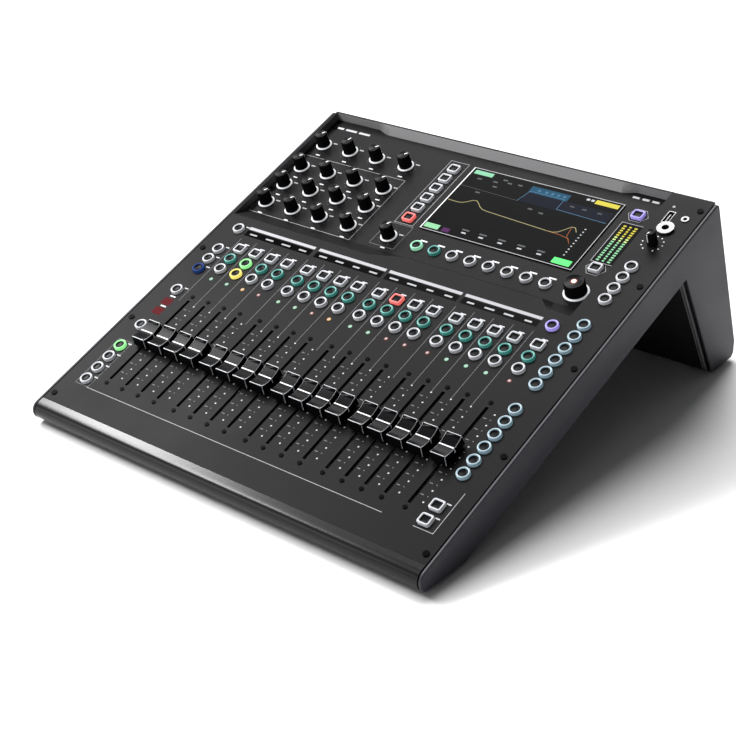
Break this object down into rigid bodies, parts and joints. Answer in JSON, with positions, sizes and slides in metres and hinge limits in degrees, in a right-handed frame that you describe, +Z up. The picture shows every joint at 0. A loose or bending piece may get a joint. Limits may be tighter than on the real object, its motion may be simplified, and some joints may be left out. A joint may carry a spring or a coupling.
{
  "type": "mixing console",
  "caption": "Wedge-shaped digital mixing console with sliding motor faders, press keys, turning knobs and a touchscreen on a sloped panel over a rear leg with sockets.",
  "frame": {"origin": "middle of the footprint on the table, under the centre of the console", "axes": "+X to the right seen from the front, +Y from the nose to the rear face, +Z up"},
  "size_m": [0.44, 0.4752, 0.1735],
  "materials": {
    "panel": "satin charcoal paint",
    "cheek": "fine-textured charcoal paint",
    "sheet": "satin black paint",
    "glass_black": "glossy display glass",
    "display": "dark window",
    "steel": "zinc-plated steel",
    "board": "green circuit board",
    "socket": "black moulding",
    "rubber": "matt",
    "screw": "black oxide",
    "fader": "satin black",
    "knob": "soft black",
    "key": "translucent white with dark dish",
    "rocker": "gloss black"
  },
  "bodies": {
    "console": {"side_cheeks": "cheek", "nose_bar": "panel", "top_panel": "panel", "control_recess": "panel", "base_tray": "sheet", "rear_panel": "sheet", "touchscreen": "glass_black", "display_windows": "display", "fader_tracks": "steel", "circuit_boards": "board", "power_supply": "steel", "mic_inputs": "socket", "line_outputs": "socket", "rear_sockets": "socket", "top_sockets": "socket", "rubber_feet": "rubber", "panel_screws": "screw"},
    "fader_cap_1": {"fader_cap_1": "fader"},
    "fader_cap_2": {"fader_cap_2": "fader"},
    "fader_cap_3": {"fader_cap_3": "fader"},
    "fader_cap_4": {"fader_cap_4": "fader"},
    "fader_cap_5": {"fader_cap_5": "fader"},
    "fader_cap_6": {"fader_cap_6": "fader"},
    "fader_cap_7": {"fader_cap_7": "fader"},
    "fader_cap_8": {"fader_cap_8": "fader"},
    "fader_cap_9": {"fader_cap_9": "fader"},
    "fader_cap_10": {"fader_cap_10": "fader"},
    "fader_cap_11": {"fader_cap_11": "fader"},
    "fader_cap_12": {"fader_cap_12": "fader"},
    "fader_cap_13": {"fader_cap_13": "fader"},
    "fader_cap_14": {"fader_cap_14": "fader"},
    "fader_cap_15": {"fader_cap_15": "fader"},
    "fader_cap_16": {"fader_cap_16": "fader"},
    "fader_cap_main": {"fader_cap_main": "fader"},
    "knob_1": {"knob_1": "knob"},
    "knob_2": {"knob_2": "knob"},
    "knob_3": {"knob_3": "knob"},
    "knob_4": {"knob_4": "knob"},
    "knob_5": {"knob_5": "knob"},
    "knob_6": {"knob_6": "knob"},
    "knob_7": {"knob_7": "knob"},
    "knob_8": {"knob_8": "knob"},
    "knob_9": {"knob_9": "knob"},
    "knob_10": {"knob_10": "knob"},
    "knob_11": {"knob_11": "knob"},
    "knob_12": {"knob_12": "knob"},
    "knob_13": {"knob_13": "knob"},
    "knob_14": {"knob_14": "knob"},
    "knob_15": {"knob_15": "knob"},
    "knob_16": {"knob_16": "knob"},
    "gain_knob": {"gain_knob": "knob"},
    "encoder_knob": {"encoder_knob": "knob"},
    "phones_knob": {"phones_knob": "knob"},
    "mute_keys": {"mute_keys": "key"},
    "select_keys": {"select_keys": "key"},
    "listen_keys": {"listen_keys": "key"},
    "soft_keys": {"soft_keys": "key"},
    "screen_keys": {"screen_keys": "key"},
    "function_keys": {"function_keys": "key"},
    "power_rocker": {"power_rocker": "rocker"}
  },
  "joints": [
    {"name": "fader_slide_1", "type": "slide", "parent": "console", "child": "fader_cap_1", "axis": [0, 0.9397, 0.342], "range_m": [-0.05, 0.05]},
    {"name": "fader_slide_2", "type": "slide", "parent": "console", "child": "fader_cap_2", "axis": [0, 0.9397, 0.342], "range_m": [-0.05, 0.05]},
    {"name": "fader_slide_3", "type": "slide", "parent": "console", "child": "fader_cap_3", "axis": [0, 0.9397, 0.342], "range_m": [-0.05, 0.05]},
    {"name": "fader_slide_4", "type": "slide", "parent": "console", "child": "fader_cap_4", "axis": [0, 0.9397, 0.342], "range_m": [-0.05, 0.05]},
    {"name": "fader_slide_5", "type": "slide", "parent": "console", "child": "fader_cap_5", "axis": [0, 0.9397, 0.342], "range_m": [-0.05, 0.05]},
    {"name": "fader_slide_6", "type": "slide", "parent": "console", "child": "fader_cap_6", "axis": [0, 0.9397, 0.342], "range_m": [-0.05, 0.05]},
    {"name": "fader_slide_7", "type": "slide", "parent": "console", "child": "fader_cap_7", "axis": [0, 0.9397, 0.342], "range_m": [-0.05, 0.05]},
    {"name": "fader_slide_8", "type": "slide", "parent": "console", "child": "fader_cap_8", "axis": [0, 0.9397, 0.342], "range_m": [-0.05, 0.05]},
    {"name": "fader_slide_9", "type": "slide", "parent": "console", "child": "fader_cap_9", "axis": [0, 0.9397, 0.342], "range_m": [-0.05, 0.05]},
    {"name": "fader_slide_10", "type": "slide", "parent": "console", "child": "fader_cap_10", "axis": [0, 0.9397, 0.342], "range_m": [-0.05, 0.05]},
    {"name": "fader_slide_11", "type": "slide", "parent": "console", "child": "fader_cap_11", "axis": [0, 0.9397, 0.342], "range_m": [-0.05, 0.05]},
    {"name": "fader_slide_12", "type": "slide", "parent": "console", "child": "fader_cap_12", "axis": [0, 0.9397, 0.342], "range_m": [-0.05, 0.05]},
    {"name": "fader_slide_13", "type": "slide", "parent": "console", "child": "fader_cap_13", "axis": [0, 0.9397, 0.342], "range_m": [-0.05, 0.05]},
    {"name": "fader_slide_14", "type": "slide", "parent": "console", "child": "fader_cap_14", "axis": [0, 0.9397, 0.342], "range_m": [-0.05, 0.05]},
    {"name": "fader_slide_15", "type": "slide", "parent": "console", "child": "fader_cap_15", "axis": [0, 0.9397, 0.342], "range_m": [-0.05, 0.05]},
    {"name": "fader_slide_16", "type": "slide", "parent": "console", "child": "fader_cap_16", "axis": [0, 0.9397, 0.342], "range_m": [-0.05, 0.05]},
    {"name": "fader_slide_main", "type": "slide", "parent": "console", "child": "fader_cap_main", "axis": [0, 0.9397, 0.342], "range_m": [-0.05, 0.05]},
    {"name": "turn_1", "type": "hinge", "parent": "console", "child": "knob_1", "pos_m": [-0.201, 0.0594, 0.11874], "axis": [0, -0.342, 0.9397], "continuous": true},
    {"name": "turn_2", "type": "hinge", "parent": "console", "child": "knob_2", "pos_m": [-0.1666, 0.0594, 0.11874], "axis": [0, -0.342, 0.9397], "continuous": true},
    {"name": "turn_3", "type": "hinge", "parent": "console", "child": "knob_3", "pos_m": [-0.132, 0.0594, 0.11874], "axis": [0, -0.342, 0.9397], "continuous": true},
    {"name": "turn_4", "type": "hinge", "parent": "console", "child": "knob_4", "pos_m": [-0.0958, 0.0594, 0.11874], "axis": [0, -0.342, 0.9397], "continuous": true},
    {"name": "turn_5", "type": "hinge", "parent": "console", "child": "knob_5", "pos_m": [-0.201, 0.08637, 0.12856], "axis": [0, -0.342, 0.9397], "continuous": true},
    {"name": "turn_6", "type": "hinge", "parent": "console", "child": "knob_6", "pos_m": [-0.1666, 0.08637, 0.12856], "axis": [0, -0.342, 0.9397], "continuous": true},
    {"name": "turn_7", "type": "hinge", "parent": "console", "child": "knob_7", "pos_m": [-0.132, 0.08637, 0.12856], "axis": [0, -0.342, 0.9397], "continuous": true},
    {"name": "turn_8", "type": "hinge", "parent": "console", "child": "knob_8", "pos_m": [-0.0958, 0.08637, 0.12856], "axis": [0, -0.342, 0.9397], "continuous": true},
    {"name": "turn_9", "type": "hinge", "parent": "console", "child": "knob_9", "pos_m": [-0.201, 0.11296, 0.13823], "axis": [0, -0.342, 0.9397], "continuous": true},
    {"name": "turn_10", "type": "hinge", "parent": "console", "child": "knob_10", "pos_m": [-0.1666, 0.11296, 0.13823], "axis": [0, -0.342, 0.9397], "continuous": true},
    {"name": "turn_11", "type": "hinge", "parent": "console", "child": "knob_11", "pos_m": [-0.132, 0.11296, 0.13823], "axis": [0, -0.342, 0.9397], "continuous": true},
    {"name": "turn_12", "type": "hinge", "parent": "console", "child": "knob_12", "pos_m": [-0.0958, 0.11296, 0.13823], "axis": [0, -0.342, 0.9397], "continuous": true},
    {"name": "turn_13", "type": "hinge", "parent": "console", "child": "knob_13", "pos_m": [-0.201, 0.14773, 0.15089], "axis": [0, -0.342, 0.9397], "continuous": true},
    {"name": "turn_14", "type": "hinge", "parent": "console", "child": "knob_14", "pos_m": [-0.1666, 0.14773, 0.15089], "axis": [0, -0.342, 0.9397], "continuous": true},
    {"name": "turn_15", "type": "hinge", "parent": "console", "child": "knob_15", "pos_m": [-0.132, 0.14773, 0.15089], "axis": [0, -0.342, 0.9397], "continuous": true},
    {"name": "turn_16", "type": "hinge", "parent": "console", "child": "knob_16", "pos_m": [-0.0958, 0.14773, 0.15089], "axis": [0, -0.342, 0.9397], "continuous": true},
    {"name": "gain_turn", "type": "hinge", "parent": "console", "child": "gain_knob", "pos_m": [-0.0482, 0.06109, 0.11935], "axis": [0, -0.342, 0.9397], "range_deg": [-150, 150]},
    {"name": "encoder_turn", "type": "hinge", "parent": "console", "child": "encoder_knob", "pos_m": [0.1579, 0.05969, 0.11884], "axis": [0, -0.342, 0.9397], "continuous": true},
    {"name": "phones_turn", "type": "hinge", "parent": "console", "child": "phones_knob", "pos_m": [0.192, 0.12386, 0.15071], "axis": [0, -0.342, 0.9397], "range_deg": [-150, 150]},
    {"name": "mute_press", "type": "slide", "parent": "console", "child": "mute_keys", "axis": [0, -0.342, 0.9397], "range_m": [-0.0012, 0], "stiffness_N_per_m": 300, "springref_m": 0.002},
    {"name": "select_press", "type": "slide", "parent": "console", "child": "select_keys", "axis": [0, -0.342, 0.9397], "range_m": [-0.0012, 0], "stiffness_N_per_m": 300, "springref_m": 0.002},
    {"name": "listen_press", "type": "slide", "parent": "console", "child": "listen_keys", "axis": [0, -0.342, 0.9397], "range_m": [-0.0012, 0], "stiffness_N_per_m": 300, "springref_m": 0.002},
    {"name": "soft_press", "type": "slide", "parent": "console", "child": "soft_keys", "axis": [0, -0.342, 0.9397], "range_m": [-0.0012, 0], "stiffness_N_per_m": 300, "springref_m": 0.002},
    {"name": "screen_press", "type": "slide", "parent": "console", "child": "screen_keys", "axis": [0, -0.342, 0.9397], "range_m": [-0.0012, 0], "stiffness_N_per_m": 300, "springref_m": 0.002},
    {"name": "function_press", "type": "slide", "parent": "console", "child": "function_keys", "axis": [0, -0.342, 0.9397], "range_m": [-0.0012, 0], "stiffness_N_per_m": 300, "springref_m": 0.002},
    {"name": "power_rocker_tip", "type": "hinge", "parent": "console", "child": "power_rocker", "pos_m": [0.166, 0.20236, 0.11115], "axis": [-1, 0, 0], "range_deg": [-16, 0]}
  ]
}
